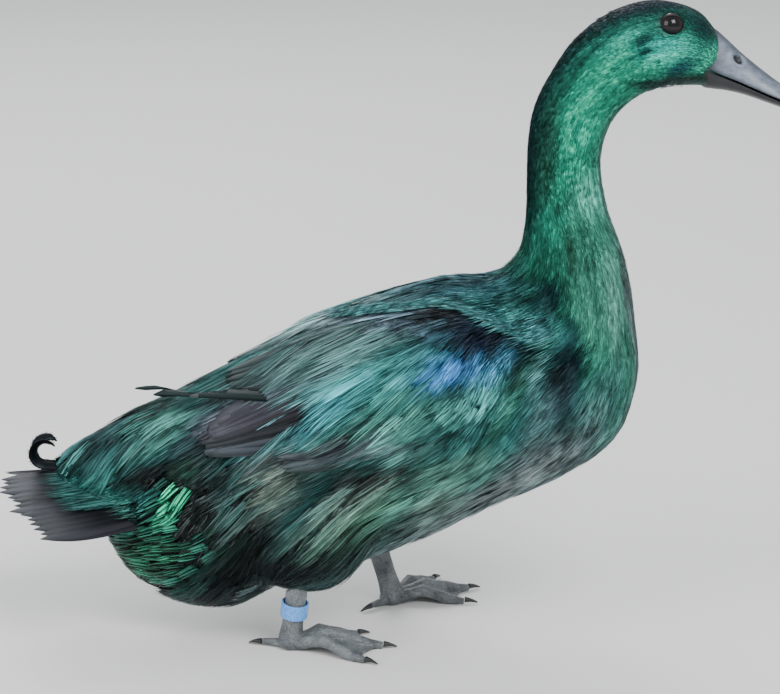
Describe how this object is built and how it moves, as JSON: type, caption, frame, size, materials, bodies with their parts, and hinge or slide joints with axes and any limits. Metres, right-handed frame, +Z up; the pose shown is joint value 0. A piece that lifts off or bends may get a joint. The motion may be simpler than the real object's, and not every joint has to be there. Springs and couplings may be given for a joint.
{
  "type": "cayuga duck",
  "caption": "Standing Cayuga drake, a still life-size model, with folded wings, fanned tail, curled tail feathers and a leg band.",
  "frame": {"origin": "on the floor, under the middle of the whole bird's box", "axes": "+X towards the bill, along the length of the bird; +Y towards its left side; +Z up"},
  "size_m": [0.5033, 0.1775, 0.4007],
  "materials": {
    "green_plumage": "glossy green feathers",
    "dark_plumage": "black feathers with a green and blue sheen",
    "bill_slate": "smooth slate grey horn",
    "bill_dark": "smooth black horn",
    "eye_dark": "wet and glossy",
    "leg_skin": "dry, finely scaled skin",
    "claw_black": "worn black horn",
    "band_blue": "satin plastic"
  },
  "bodies": {
    "root": {"head": "green_plumage", "eye_left": "eye_dark", "eye_right": "eye_dark", "bill_upper": "bill_slate", "bill_lower": "bill_dark", "neck": "green_plumage", "torso": "dark_plumage", "wing_left": "dark_plumage", "wing_right": "dark_plumage", "tail": "green_plumage", "thigh_left": "dark_plumage", "thigh_right": "dark_plumage", "leg_left": "leg_skin", "leg_right": "leg_skin", "foot_left": "leg_skin", "foot_right": "leg_skin", "leg_band": "band_blue", "claw_left_1": "claw_black", "claw_left_2": "claw_black", "claw_left_3": "claw_black", "claw_left_4": "claw_black", "claw_right_1": "claw_black", "claw_right_2": "claw_black", "claw_right_3": "claw_black", "claw_right_4": "claw_black"}
  },
  "joints": []
}
